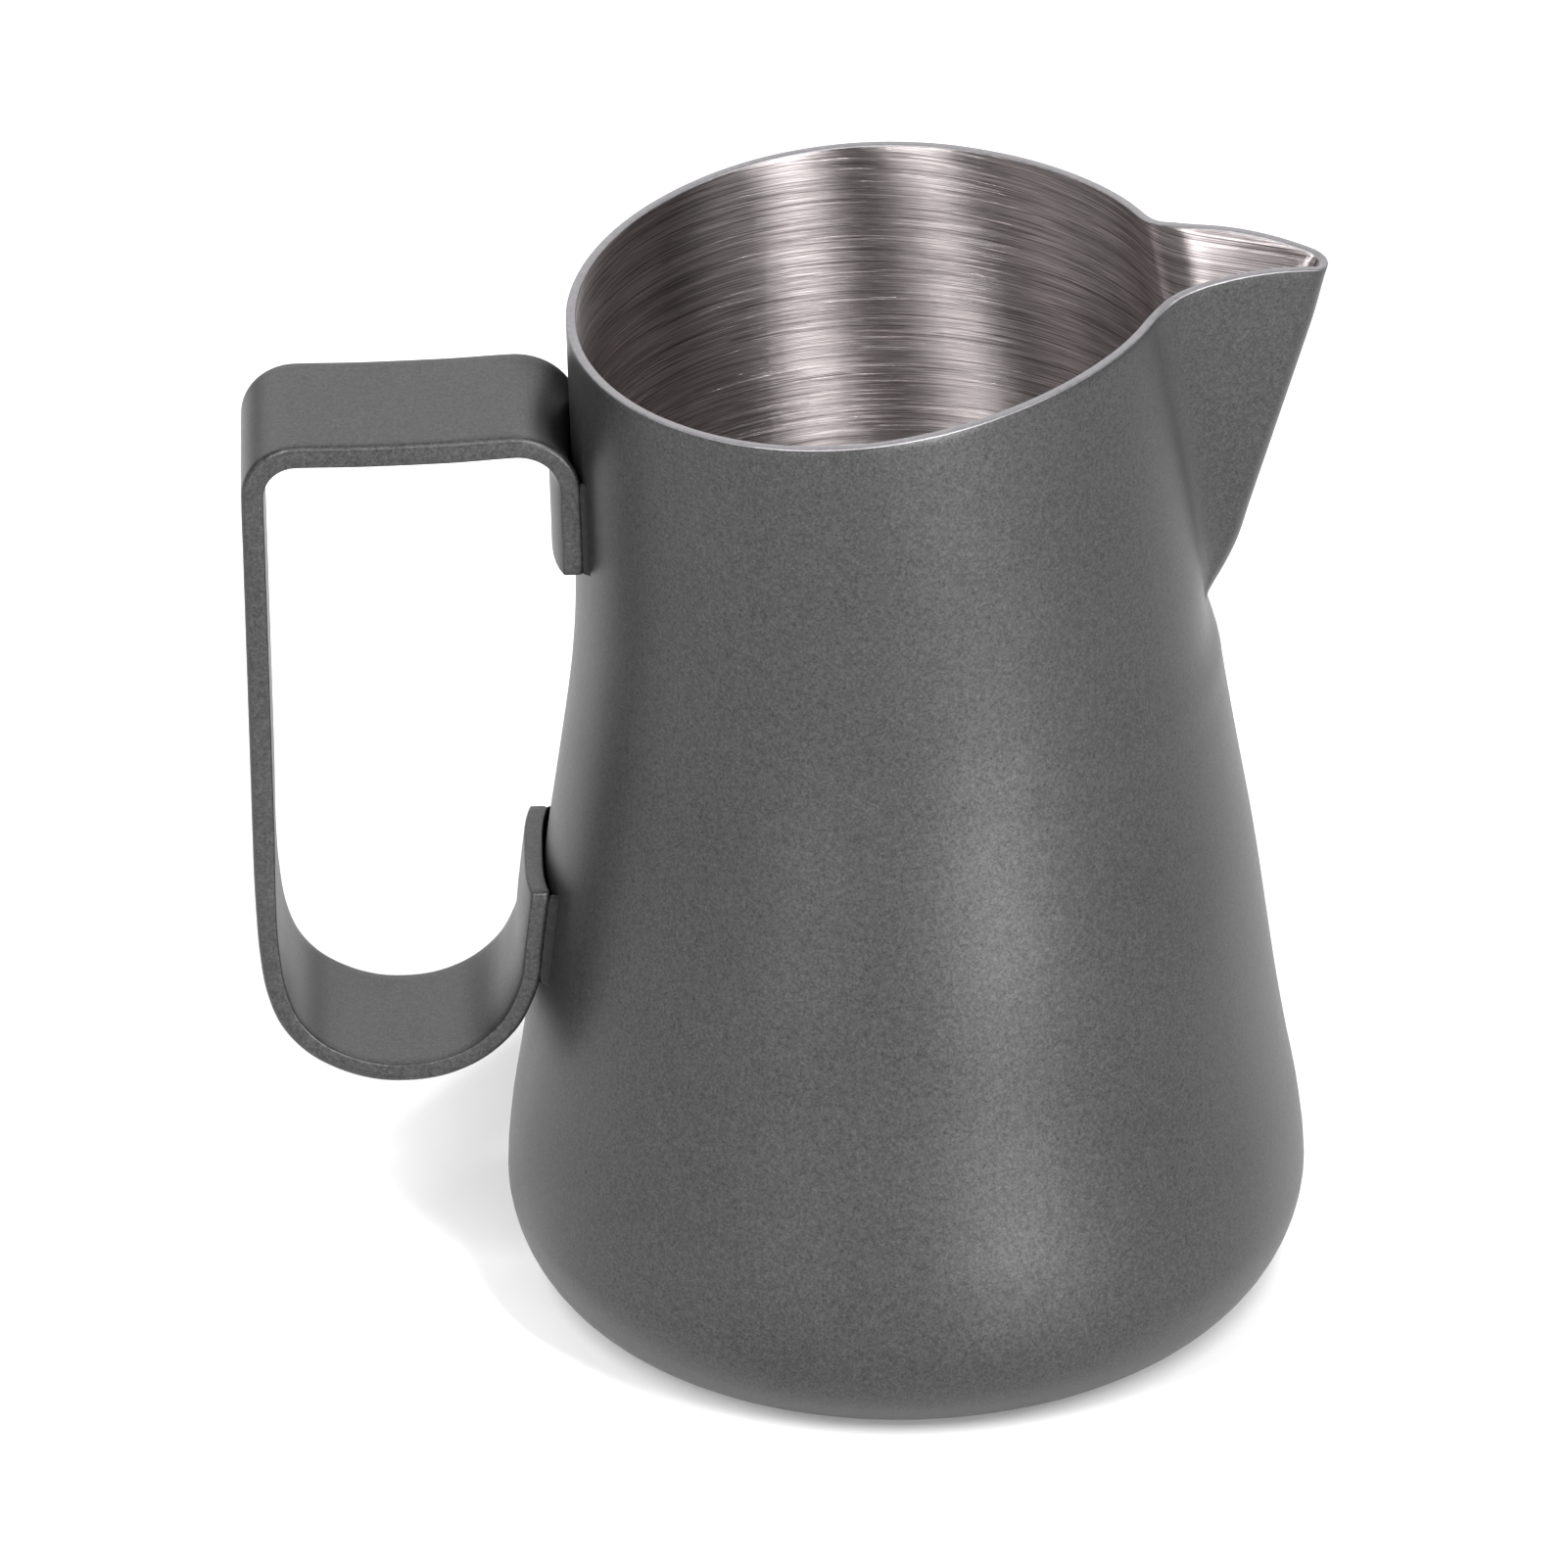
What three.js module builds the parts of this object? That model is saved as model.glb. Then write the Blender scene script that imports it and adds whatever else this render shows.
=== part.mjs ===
// Milk frothing pitcher: a drawn steel cup with a pressed spout and a welded strap handle.
// Millimetres. +Z is up, the flat base stands on z = 0, and the cup's axis is the Z axis.
// +X points to the spout, -X to the handle, and the pitcher is symmetric about y = 0.

import * as THREE from 'three';

// --- driving dimensions ---

const WALL = 1.1;                 // sheet thickness of the cup
const BASE_FLAT_RADIUS = 35.0;    // flat disc the pitcher stands on
const BODY_RADIUS = 45.0;         // widest radius, low on the body
const CORNER_HEIGHT = 12.6;       // height of the widest ring
const CORNER_POWER = 1.835;       // exponent of the rounded bottom corner, 2 is an ellipse

// outer radius above the widest ring: [height, radius]
const WALL_PROFILE = [
  [12.6, 45.0], [20.3, 44.36], [27.3, 43.21], [34.3, 42.17], [41.3, 41.31], [48.4, 40.48],
  [55.4, 39.57], [62.4, 38.49], [69.4, 37.43], [76.4, 36.46], [83.4, 35.84], [90.4, 35.62],
  [97.4, 35.62], [104.4, 35.72], [111.4, 35.86], [118.4, 35.96], [130.0, 36.05],
];

const RIM_HEIGHT = 124.1;         // rim height over the axis
const RIM_SLOPE = 0.0684;         // rise of the rim per millimetre towards the spout
const RIM_CHAMFER = 0.3;          // ground outer edge of the rim
const PRESS_START = 74.0;         // below this height the cup is a plain surface of revolution

// mouth radius before the spout is pressed out: [degrees from the spout, radius]
const MOUTH_PROFILE = [
  [0, 31.65], [36, 31.6], [46, 31.7], [56, 32.05], [68, 32.8], [83, 34.2], [98, 35.5],
  [115, 36.3], [135, 36.3], [158, 36.05], [180, 35.95],
];
const MOUTH_NOMINAL = 35.95;      // mouth radius at the handle side

const SPOUT_ROOT_HEIGHT = 85.0;   // where the spout's ridge leaves the neck
const SPOUT_RIDGE_HEIGHT = 95.65; // a point on the straight part of the ridge
const SPOUT_RIDGE_X = 39.45;
const SPOUT_RIDGE_SLOPE = 0.3115; // outward run of the ridge per millimetre of height
const SPOUT_BEND_HEIGHT = 93.4;   // below this the ridge rounds in to its root
const SPOUT_BEND = 0.0213;
const SPOUT_HALF_ANGLE = 20.5;    // degrees between the spout's flank and its middle plane
const SPOUT_NOSE_RADIUS = 2.8;
const SPOUT_DENT = 0.8;           // how far the wall is drawn in just under the spout
const SPOUT_DENT_ANGLE = 15;
const SPOUT_ZONE = 26;            // degrees either side of the spout where the cup's mesh is finer
const SPOUT_MIN_CREASE = 3.5;

const STRAP_WIDTH = 20.3;
const STRAP_THICKNESS = 2.5;
const LOOP_THICKNESS = 2.25;      // round the bottom of the loop
const UPPER_TAB_THICKNESS = 2.3;
const LOWER_TAB_THICKNESS = 2.1;
const STRAP_OUTER_EDGE = 0.8;     // rounded edges on the outside of the loop
const STRAP_INNER_EDGE = 0.25;    // broken edges on the inside of the loop
const STRAP_TAB_CORNER = 0.3;     // corners of the tab ends
const FIT_GAP = 0.3;              // clearance between touching pieces
const LOWER_TAB_HUG = 0.4;        // how far the lower tab follows the body's curve

const UPPER_TAB_END = 94.45;
const LOWER_TAB_END = 53.8;
const HANDLE_TOP = 112.07;
const HANDLE_BAR_X = -72.5;
const UPPER_BEND_RADIUS = 7.0;
const OUTER_BEND_RADIUS = 6.2;

// outer side of the handle's lower loop, from the bar to the lower tab: [x, z]
const LOWER_LOOP = [
  [-72.5, 58.0], [-72.4, 52.5], [-72.15, 47.0], [-71.5, 41.8], [-70.0, 37.4], [-67.3, 33.9],
  [-63.7, 31.5], [-59.7, 30.1], [-55.8, 29.8], [-52.15, 30.3], [-48.8, 31.7], [-46.1, 33.75],
  [-43.9, 36.4], [-42.5, 39.35],
];

const WELD_LEG_TAB = 0.9;         // height of the weld fillet on the tab's edge
const WELD_LEG_BODY = 1.3;        // reach of the weld fillet along the body

const DEG = Math.PI / 180;

// --- small helpers ---

function smoothstep(t) {
  const c = Math.min(Math.max(t, 0), 1);
  return c * c * (3 - 2 * c);
}

// Catmull-Rom interpolation through a table of [position, value]
function interpolate(table, position) {
  let i = 0;
  while (i < table.length - 2 && position > table[i + 1][0]) {
    i += 1;
  }
  const before = table[Math.max(i - 1, 0)];
  const here = table[i];
  const next = table[i + 1];
  const after = table[Math.min(i + 2, table.length - 1)];
  const span = next[0] - here[0];
  const slopeHere = i === 0 ? 0 : (next[1] - before[1]) / (next[0] - before[0]);
  const slopeNext = (after[1] - here[1]) / (after[0] - here[0]);
  const t = (position - here[0]) / span;
  const a = 2 * t ** 3 - 3 * t ** 2 + 1;
  const b = t ** 3 - 2 * t ** 2 + t;
  const c = -2 * t ** 3 + 3 * t ** 2;
  const d = t ** 3 - t ** 2;
  return a * here[1] + b * span * slopeHere + c * next[1] + d * span * slopeNext;
}

// a closed mesh from points and triangles
function closedGeometry(points, triangles) {
  const geometry = new THREE.BufferGeometry();
  geometry.setAttribute('position', new THREE.Float32BufferAttribute(points.flat(), 3));
  geometry.setIndex(triangles.flat());
  geometry.computeVertexNormals();
  return geometry;
}

// rings of equal length joined to a tube, its ends closed by a fan or by a single point
function skinRings(rings, firstCentre, lastCentre) {
  const points = [firstCentre, ...rings.flat(), lastCentre];
  const triangles = [];
  const n = rings[0].length;
  for (let j = 0; j < n; j += 1) {
    const k = (j + 1) % n;
    triangles.push([0, 1 + k, 1 + j]);
    for (let i = 0; i < rings.length - 1; i += 1) {
      const a = 1 + i * n + j;
      const b = 1 + i * n + k;
      triangles.push([a, b, b + n], [a, b + n, a + n]);
    }
    const lastRing = 1 + (rings.length - 1) * n;
    triangles.push([lastRing + j, lastRing + k, points.length - 1]);
  }
  return closedGeometry(points, triangles);
}

// --- cup ---

function bodyRadius(z) {
  return interpolate(WALL_PROFILE, z);
}

// plan radius of the tapered mouth before the spout is pressed out, at an angle from +X
function mouthRadius(angle) {
  return interpolate(MOUTH_PROFILE, Math.abs(angle) / DEG);
}

// how far out the spout's front edge stands
function ridgeX(z) {
  const straight = SPOUT_RIDGE_X + SPOUT_RIDGE_SLOPE * (z - SPOUT_RIDGE_HEIGHT);
  const rootBend = SPOUT_BEND * Math.max(SPOUT_BEND_HEIGHT - z, 0) ** 2;
  return straight - rootBend - 0.3 * smoothstep((z - 119) / 7);
}

// the press draws the wall in a little just under the spout
function rootDent(angle, z) {
  const rise = smoothstep((z - 77.5) / 6) * (1 - smoothstep((z - 85) / 9));
  return SPOUT_DENT * rise * Math.exp(-((angle / (SPOUT_DENT_ANGLE * DEG)) ** 2));
}

// plan radius of the spout's rounded wedge
function spoutRadius(angle, z) {
  const a = Math.abs(angle);
  const half = SPOUT_HALF_ANGLE * DEG;
  const nose = SPOUT_NOSE_RADIUS;
  const centreX = ridgeX(z) - nose;
  const sideways = centreX * Math.sin(a);
  if (sideways < nose) {
    const r = centreX * Math.cos(a) + Math.sqrt(nose * nose - sideways * sideways);
    if (r * Math.cos(a) >= centreX + nose * Math.sin(half)) {
      return r;
    }
  }
  // straight flank, tangent to the nose
  return (centreX * Math.sin(half) + nose) / Math.sin(a + half);
}

// plan radius of the cup before the spout is pressed out
function plainRadius(angle, z) {
  const lift = Math.max((z - 78) / (RIM_HEIGHT - 78), 0) ** 1.25;
  return bodyRadius(z) - (MOUTH_NOMINAL - mouthRadius(angle)) * lift - rootDent(angle, z);
}

// plan radius of the cup's outer surface
function pressedRadius(angle, z) {
  const flank = plainRadius(angle, z);
  if (z < PRESS_START || Math.abs(angle) > 80 * DEG) {
    return flank;
  }
  const spout = spoutRadius(angle, z);
  const soft = 0.8 + 4.8 * smoothstep((z - 83) / 12) - 0.6 * smoothstep((z - 112) / 12);
  const h = Math.max(soft - Math.abs(flank - spout), 0) / soft;
  return Math.max(flank, spout) + h * h * soft / 4;
}

// the rim is cut on a slope, and the pressed spout lifts its lip and dips its tip
function rimHeight(x) {
  const t = (x - 28) / 20.5;
  const lip = t > 0 ? 6.4 * t * (0.83 - t) * smoothstep(t / 0.2) : 0;
  return RIM_HEIGHT + RIM_SLOPE * x + lip;
}

function rimHeightAt(column) {
  let z = RIM_HEIGHT;
  for (let i = 0; i < 12; i += 1) {
    const angle = columnAngle(column, z);
    z = rimHeight(pressedRadius(angle, z) * Math.cos(angle));
  }
  return z;
}

const WALL_TOP = 3;

// outer surface: v runs 0..1 round the bottom corner, 1..2 up the wall, 2..3 up to the rim
function outerPoint(column, v, rimZ, turn = 0) {
  let r = 0;
  let z = 0;
  let angle = 0;
  if (v < 1) {
    const t = v * Math.PI / 2;
    r = BASE_FLAT_RADIUS + (BODY_RADIUS - BASE_FLAT_RADIUS) * Math.sin(t) ** (2 / CORNER_POWER);
    z = CORNER_HEIGHT * (1 - Math.cos(t) ** (2 / CORNER_POWER));
    angle = columnAngle(column, z) + turn;
  } else {
    z = v < 2
      ? CORNER_HEIGHT + (PRESS_START - CORNER_HEIGHT) * (v - 1)
      : PRESS_START + (rimZ - PRESS_START) * (v - 2);
    angle = columnAngle(column, z) + turn;
    r = pressedRadius(angle, z);
  }
  return new THREE.Vector3(r * Math.cos(angle), r * Math.sin(angle), z);
}

function outerNormal(column, v, rimZ) {
  const da = 0.002;
  const dv = 0.002;
  const va = Math.max(v - dv, 0.0005);
  const vb = Math.min(v + dv, WALL_TOP);
  const alongAngle = outerPoint(column, v, rimZ, da).sub(outerPoint(column, v, rimZ, -da));
  const alongWall = outerPoint(column, vb, rimZ).sub(outerPoint(column, va, rimZ));
  return alongAngle.cross(alongWall).normalize();
}

// inner surface, one sheet thickness in
function innerPoint(column, v, rimZ) {
  const p = outerPoint(column, v, rimZ);
  const n = outerNormal(column, v, rimZ);
  if (v < 1) {
    return p.addScaledVector(n, -WALL);
  }
  const flat = Math.hypot(n.x, n.y);
  p.x -= n.x / flat * WALL / flat;
  p.y -= n.y / flat * WALL / flat;
  return p;
}

// angle of the crease where the spout leaves the body, at a height
function creaseAngle(z) {
  if (z <= SPOUT_ROOT_HEIGHT) {
    return SPOUT_MIN_CREASE * DEG;
  }
  let low = 0;
  let high = 24 * DEG;
  for (let i = 0; i < 30; i += 1) {
    const middle = (low + high) / 2;
    if (spoutRadius(middle, z) > plainRadius(middle, z)) {
      low = middle;
    } else {
      high = middle;
    }
  }
  return Math.max(low, SPOUT_MIN_CREASE * DEG);
}

// where each column of the cup's mesh sits: the columns near the spout follow its crease
function cupColumns() {
  const inSpout = [0.12, 0.27, 0.45, 0.65, 0.84, 1];
  const beside = [0.09, 0.22, 0.42, 0.68, 1];
  const half = [...inSpout.map((f) => ({ f, side: 'in' })), ...beside.map((f) => ({ f, side: 'out' }))];
  const columns = [{ f: 0, side: 'in', sign: 1 }];
  half.forEach((c) => columns.push({ ...c, sign: 1 }));
  const steps = 40;
  for (let i = 1; i < steps; i += 1) {
    columns.push({ angle: (SPOUT_ZONE + ((360 - 2 * SPOUT_ZONE) * i) / steps) * DEG });
  }
  [...half].reverse().forEach((c) => columns.push({ ...c, sign: -1 }));
  return columns;
}

function columnAngle(column, z) {
  if (column.angle !== undefined) {
    return column.angle > Math.PI ? column.angle - 2 * Math.PI : column.angle;
  }
  const crease = creaseAngle(z);
  const zone = SPOUT_ZONE * DEG;
  const angle = column.side === 'in' ? crease * column.f : crease + (zone - crease) * column.f;
  return column.sign * angle;
}

function cupGeometry() {
  const corner = [0, 0.2, 0.4, 0.6, 0.8];
  const wall = [1, 1.14, 1.28, 1.42, 1.56, 1.7, 1.84];
  const upper = [
    2, 2.07, 2.12, 2.16, 2.19, 2.22, 2.25, 2.29, 2.34, 2.4, 2.48, 2.58, 2.68, 2.78, 2.88,
  ];
  const levels = [...corner, ...wall, ...upper];
  const columns = cupColumns();
  const rims = columns.map(rimHeightAt);
  const rings = [];
  for (const v of levels) {
    rings.push(columns.map((c, i) => outerPoint(c, v, rims[i]).toArray()));
  }
  // rim: chamfered outer edge, flat top, then the inner wall
  const rimRing = (inset, drop) => columns.map((c, i) => {
    const outer = outerPoint(c, WALL_TOP, rims[i]);
    const inner = innerPoint(c, WALL_TOP, rims[i]);
    const p = outer.lerp(inner, inset / WALL);
    return [p.x, p.y, p.z - drop];
  });
  rings.push(rimRing(0, RIM_CHAMFER));
  rings.push(rimRing(RIM_CHAMFER, 0));
  rings.push(rimRing(WALL, 0));
  for (const v of [...levels].reverse()) {
    rings.push(columns.map((c, i) => innerPoint(c, v, rims[i]).toArray()));
  }
  return skinRings(rings, [0, 0, 0], [0, 0, WALL]);
}

// --- handle ---

// outer side of the strap in the plane y = 0, from the upper tab's end to the lower tab's end
function strapOuterLine() {
  const line = [];
  const upperX = (z) => -(bodyRadius(z) + FIT_GAP);
  const arcX = upperX(104) - UPPER_BEND_RADIUS;
  const arcZ = HANDLE_TOP - UPPER_BEND_RADIUS;
  for (const z of [UPPER_TAB_END, UPPER_TAB_END + 0.12, UPPER_TAB_END + 0.3, 98.8, 102.2]) {
    line.push([upperX(z), z]);
  }
  for (let i = 0; i <= 6; i += 1) {
    const a = i * 15 * DEG;
    line.push([arcX + UPPER_BEND_RADIUS * Math.cos(a), arcZ + UPPER_BEND_RADIUS * Math.sin(a)]);
  }
  line.push([-50, HANDLE_TOP - 0.35], [-59, HANDLE_TOP - 0.55]);
  const outerX = HANDLE_BAR_X + OUTER_BEND_RADIUS;
  const outerZ = HANDLE_TOP - 0.5 - OUTER_BEND_RADIUS;
  for (let i = 0; i <= 5; i += 1) {
    const a = (90 + i * 18) * DEG;
    line.push([outerX + OUTER_BEND_RADIUS * Math.cos(a), outerZ + OUTER_BEND_RADIUS * Math.sin(a)]);
  }
  line.push([HANDLE_BAR_X, 90], [HANDLE_BAR_X, 74]);
  line.push(...LOWER_LOOP);
  for (const z of [42.6, 46.0, 49.5, LOWER_TAB_END - 0.3, LOWER_TAB_END - 0.12, LOWER_TAB_END]) {
    line.push([-(bodyRadius(z) + FIT_GAP), z]);
  }
  return line;
}

// piecewise linear blend of values given at positions along the strap
function blend(stops, position) {
  if (position <= stops[0][0]) {
    return stops[0][1];
  }
  for (let i = 1; i < stops.length; i += 1) {
    if (position <= stops[i][0]) {
      const t = (position - stops[i - 1][0]) / (stops[i][0] - stops[i - 1][0]);
      return stops[i - 1][1] + (stops[i][1] - stops[i - 1][1]) * smoothstep(t);
    }
  }
  return stops[stops.length - 1][1];
}

function strapGeometry() {
  const line = strapOuterLine();
  const lengths = [0];
  for (let i = 1; i < line.length; i += 1) {
    const step = Math.hypot(line[i][0] - line[i - 1][0], line[i][1] - line[i - 1][1]);
    lengths.push(lengths[i - 1] + step);
  }
  const total = lengths[lengths.length - 1];
  const thicknessStops = [
    [0, UPPER_TAB_THICKNESS], [12, UPPER_TAB_THICKNESS], [30, STRAP_THICKNESS],
    [total - 75, STRAP_THICKNESS], [total - 60, LOOP_THICKNESS], [total - 32, LOOP_THICKNESS],
    [total - 14, LOWER_TAB_THICKNESS],
  ];
  const hugStops = [
    [0, 1], [21, 1], [40, 0], [total - 34, 0], [total - 12, LOWER_TAB_HUG], [total, LOWER_TAB_HUG],
  ];
  const across = [-1, -0.72, -0.38, 0, 0.38, 0.72, 1];
  const rings = line.map((point, i) => {
    const before = line[Math.max(i - 1, 0)];
    const after = line[Math.min(i + 1, line.length - 1)];
    const tangent = new THREE.Vector2(after[0] - before[0], after[1] - before[1]).normalize();
    const inward = new THREE.Vector2(-tangent.y, tangent.x);
    if (i === 0 || i === line.length - 1) {
      inward.set(-1, 0);
    }
    const thickness = blend(thicknessStops, lengths[i]);
    const hug = blend(hugStops, lengths[i]);
    const toEnd = Math.min(lengths[i], total - lengths[i]);
    const short = Math.max(STRAP_TAB_CORNER - toEnd, 0);
    const corner = STRAP_TAB_CORNER - Math.sqrt(STRAP_TAB_CORNER ** 2 - short ** 2);
    const half = STRAP_WIDTH / 2 - corner;
    const localRadius = Math.abs(point[0]) < 45 ? Math.abs(point[0]) : 45;
    const place = (y, depth) => {
      const radius = localRadius + depth;
      const shift = hug * (radius - Math.sqrt(radius * radius - y * y));
      return [point[0] + inward.x * depth + shift, y, point[1] + inward.y * depth];
    };
    const outerSide = across.map((s) => place(s * (half - STRAP_OUTER_EDGE), 0));
    const innerSide = [...across].reverse().map((s) => place(s * (half - STRAP_INNER_EDGE), thickness));
    const round = 0.29 * STRAP_OUTER_EDGE;
    const lip = thickness - STRAP_INNER_EDGE;
    return [
      ...outerSide, place(half - round, round), place(half, STRAP_OUTER_EDGE), place(half, lip),
      ...innerSide, place(-half, lip), place(-half, STRAP_OUTER_EDGE), place(round - half, round),
    ];
  });
  const middle = (ring) => {
    const sum = ring.reduce((s, p) => [s[0] + p[0], s[1] + p[1], s[2] + p[2]], [0, 0, 0]);
    return sum.map((value) => value / ring.length);
  };
  return skinRings(rings, middle(rings[0]), middle(rings[rings.length - 1]));
}

// --- welds ---

// fillet along one edge of a tab: side is -1 for the front, 1 for the back
function weldGeometry(zStart, zEnd, side, tabGap) {
  const rings = [];
  const steps = 8;
  const edgeY = STRAP_WIDTH / 2 + FIT_GAP;
  for (let i = 0; i <= steps; i += 1) {
    const t = i / steps;
    const z = zStart + (zEnd - zStart) * t;
    const swell = 0.7 + 0.3 * smoothstep(Math.min(t, 1 - t) / 0.13);
    const bodyR = bodyRadius(z) + FIT_GAP;
    const onBody = (y) => -Math.sqrt(bodyR * bodyR - y * y);
    const reachY = edgeY + WELD_LEG_BODY * swell;
    const rootX = onBody(edgeY);
    const ring = [];
    for (let j = 0; j <= 3; j += 1) {
      const y = edgeY + (reachY - edgeY) * j / 3;
      ring.push([onBody(y), side * y, z]);
    }
    const toeX = rootX - tabGap - WELD_LEG_TAB * swell;
    ring.push([onBody(reachY) - 0.3, side * reachY, z]);
    ring.push([rootX - 0.22 * (rootX - toeX), side * (edgeY + 0.45 * (reachY - edgeY)), z]);
    ring.push([toeX + 0.25 * (rootX - toeX), side * (edgeY + 0.12 * (reachY - edgeY)), z]);
    ring.push([toeX, side * edgeY, z]);
    rings.push(side < 0 ? ring.reverse() : ring);
  }
  const middle = (ring) => ring.reduce((s, p) => s.map((v, k) => v + p[k] / ring.length), [0, 0, 0]);
  return skinRings(rings, middle(rings[0]), middle(rings[steps]));
}

// --- scene graph ---

const coat = { color: 0x4c4d4e, roughness: 0.45, metalness: 0.6 };

function piece(name, geometry) {
  const mesh = new THREE.Mesh(geometry, new THREE.MeshStandardMaterial(coat));
  mesh.name = name;
  return mesh;
}

const pitcher = new THREE.Group();
pitcher.name = 'milk_frothing_pitcher';
pitcher.add(piece('body_shell', cupGeometry()));
pitcher.add(piece('handle_strap', strapGeometry()));
for (const [end, side] of [['front', -1], ['back', 1]]) {
  pitcher.add(piece(`upper_tab_weld_${end}`, weldGeometry(94.8, 106.0, side, 0.0)));
  pitcher.add(piece(`lower_tab_weld_${end}`, weldGeometry(42.4, 53.4, side, 0.6)));
}

export default pitcher;
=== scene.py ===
# %% [markdown]
# # A milk frothing pitcher
#
# The pitcher is a steel cup, drawn from one sheet, with a spout pressed out of its mouth and a
# flat strap handle welded on. A charcoal powder coat covers everything but the inside and the
# rim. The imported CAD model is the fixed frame: it says where everything is. Blender's part is
# the looks, so the cup, the strap and the welds are made again here, smoother and with rounded
# edges, in the same place.

# %% Load the frame
import math

import bmesh
import bpy
from mathutils import Matrix, Vector


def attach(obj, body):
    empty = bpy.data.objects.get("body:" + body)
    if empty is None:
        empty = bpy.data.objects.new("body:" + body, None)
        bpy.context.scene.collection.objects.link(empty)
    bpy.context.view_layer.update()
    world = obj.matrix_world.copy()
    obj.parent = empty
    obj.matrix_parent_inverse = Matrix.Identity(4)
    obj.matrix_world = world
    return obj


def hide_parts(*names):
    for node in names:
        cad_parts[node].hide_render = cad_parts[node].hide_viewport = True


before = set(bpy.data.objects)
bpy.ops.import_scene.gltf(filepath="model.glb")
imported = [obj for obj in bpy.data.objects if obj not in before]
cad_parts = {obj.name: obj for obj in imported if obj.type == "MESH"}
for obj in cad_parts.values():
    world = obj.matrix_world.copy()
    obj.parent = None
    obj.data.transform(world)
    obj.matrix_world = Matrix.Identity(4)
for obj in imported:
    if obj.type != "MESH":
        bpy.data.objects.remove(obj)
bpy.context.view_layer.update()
print("CAD nodes:", sorted(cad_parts))

MM = 0.001
DEG = math.pi / 180

# %% [markdown]
# ## The studio
#
# A long lens far away keeps the pitcher's sides nearly parallel, so its outline reads plainly.
# Steel and satin coats show their lights, so each soft box has one job. Two tall, narrow boxes
# high at the front draw the upright bands in the brushed inside. Two low ones draw the soft
# highlights on the coat, and two wings lighten its edges. A wide box behind and another overhead
# light what faces up: the top of the strap, the rim and the floor.

# %% Camera
VIEW_TARGET = Vector((-0.0129, 0.0, 0.0614))
VIEW_AZIMUTH = -0.485
VIEW_ELEVATION = 29.915
VIEW_ROLL = -1.245
VIEW_DISTANCE = 2.745
LENS = 562.15
SENSOR_WIDTH = 36.0
VIEW_END = 50.0

camera = bpy.data.objects.new("camera", bpy.data.cameras.new("camera"))
camera.data.lens = LENS
camera.data.sensor_width = SENSOR_WIDTH
camera.data.clip_end = VIEW_END
turn = (
    Matrix.Rotation(VIEW_AZIMUTH * DEG, 4, "Z")
    @ Matrix.Rotation((90 - VIEW_ELEVATION) * DEG, 4, "X")
    @ Matrix.Rotation(VIEW_ROLL * DEG, 4, "Z")
)
back = turn.to_3x3() @ Vector((0, 0, 1))
camera.matrix_world = Matrix.Translation(VIEW_TARGET + back * VIEW_DISTANCE) @ turn
bpy.context.scene.collection.objects.link(camera)
bpy.context.scene.camera = camera
bpy.context.scene.view_settings.view_transform = "Standard"
print("camera at", [round(c, 3) for c in camera.matrix_world.translation])

# %% Soft boxes
LIGHT_AIM = Vector((0, 0, 0.08))

# name, azimuth and elevation in degrees, distance, (width, height) in metres, power in watts
SOFT_BOXES = [
    ("right_strip", 30, 50, 1.5, (0.08, 0.9), 27),
    ("right_low", 29, 3, 1.5, (0.48, 0.22), 22),
    ("right_wing", 58, 24, 1.6, (0.7, 0.9), 2.8),
    ("left_strip", -38, 48, 1.5, (0.07, 0.9), 21),
    ("left_low", -30, 3, 1.5, (0.3, 0.22), 5),
    ("left_wing", -80, 24, 1.7, (1.4, 0.8), 5),
    ("rear_box", 180, 26, 2.2, (3.4, 1.6), 36),
    ("top_box", 180, 80, 2.4, (2.0, 1.6), 20),
]


def soft_box(name, azimuth, elevation, distance, size, power):
    """A rectangular light on a sphere round the pitcher; azimuth 0 is at the camera's side."""
    data = bpy.data.lights.new(name, "AREA")
    data.shape = "RECTANGLE"
    data.size, data.size_y = size
    data.energy = power
    lamp = bpy.data.objects.new(name, data)
    bpy.context.scene.collection.objects.link(lamp)
    a, e = azimuth * DEG, elevation * DEG
    out = Vector((math.sin(a) * math.cos(e), -math.cos(a) * math.cos(e), math.sin(e)))
    lamp.location = LIGHT_AIM + out * distance
    lamp.rotation_euler = out.to_track_quat("Z", "Y").to_euler()
    print(name, "at", [round(c, 2) for c in lamp.location])


for box in SOFT_BOXES:
    soft_box(*box)

# %% Light from all round
WORLD_COLOUR = (0.62, 0.62, 0.63, 1)
WORLD_STRENGTH = 0.07

world = bpy.data.worlds.new("studio")
bpy.context.scene.world = world
world.use_nodes = True
background = world.node_tree.nodes["Background"]
background.inputs["Color"].default_value = WORLD_COLOUR
background.inputs["Strength"].default_value = WORLD_STRENGTH

# %% [markdown]
# ## Node maths in plain Python
#
# A material's pattern is a formula. A small class wraps an output socket, so that sums and
# products written in Python add the Math nodes by themselves. Every other node comes from one
# method, which sets the node's settings first and then its sockets.


# %% The socket wrapper
class Wire:
    """A value on its way through a node tree."""

    def __init__(self, paint, socket):
        self.paint = paint
        self.socket = socket

    def _maths(self, operation, *values):
        return self.paint.node("Math", {"operation": operation}, *values)

    def __add__(self, other):
        return self._maths("ADD", self, other)

    def __sub__(self, other):
        return self._maths("SUBTRACT", self, other)

    def __mul__(self, other):
        return self._maths("MULTIPLY", self, other)

    def __radd__(self, other):
        return self._maths("ADD", other, self)

    def __rsub__(self, other):
        return self._maths("SUBTRACT", other, self)

    def clamped(self):
        return self._maths("MAXIMUM", self._maths("MINIMUM", self, 1.0), 0.0)


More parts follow.
